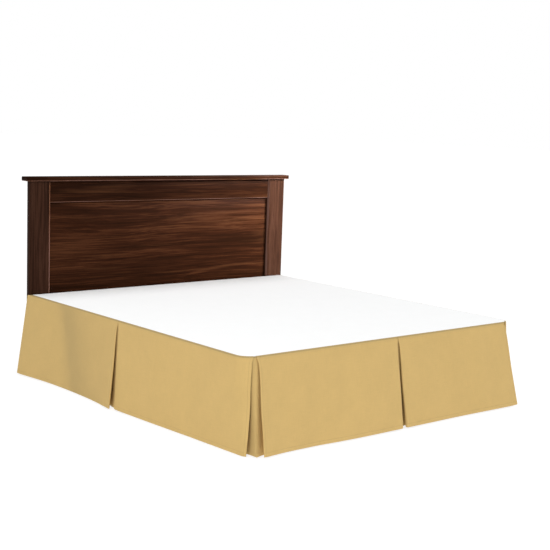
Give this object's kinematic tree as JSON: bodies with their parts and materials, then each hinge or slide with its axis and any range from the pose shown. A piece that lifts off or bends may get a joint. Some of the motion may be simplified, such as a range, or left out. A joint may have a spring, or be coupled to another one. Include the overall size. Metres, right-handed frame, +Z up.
{
  "type": "bed skirt on a bed with headboard",
  "caption": "Tailored bed skirt with inverted pleats and split foot corners, its drops falling over the edge of a plain bed that has a panelled headboard.",
  "frame": {"origin": "on the floor under the middle of the whole object", "axes": "+Z up, +Y from the foot of the bed to its headboard, +X to the right side as seen from the foot"},
  "size_m": [2.1394, 2.2103, 1.174],
  "materials": {
    "gold_cloth": "plain weave, matt, dyed gold",
    "white_cloth": "plain weave, matt, white",
    "ticking": "woven cover, matt, off-white",
    "steel": "satin black powder coat",
    "walnut": "dark reddish brown, straight grain, satin lacquer"
  },
  "bodies": {
    "root": {"platform": "white_cloth", "drop_left": "gold_cloth", "drop_foot": "gold_cloth", "drop_right": "gold_cloth", "corner_insert_left": "gold_cloth", "corner_insert_right": "gold_cloth", "foundation_left": "ticking", "foundation_right": "ticking", "side_rail_left": "steel", "side_rail_right": "steel", "centre_rail": "steel", "cross_rail_foot": "steel", "cross_rail_middle": "steel", "cross_rail_head": "steel", "leg_1": "steel", "leg_2": "steel", "leg_3": "steel", "leg_4": "steel", "leg_5": "steel", "leg_6": "steel", "leg_7": "steel", "headboard_bracket_left": "steel", "headboard_bracket_right": "steel", "headboard_post_left": "walnut", "headboard_post_right": "walnut", "headboard_cap": "walnut", "headboard_top_rail": "walnut", "headboard_panel": "walnut", "headboard_bottom_rail": "walnut"}
  },
  "joints": []
}
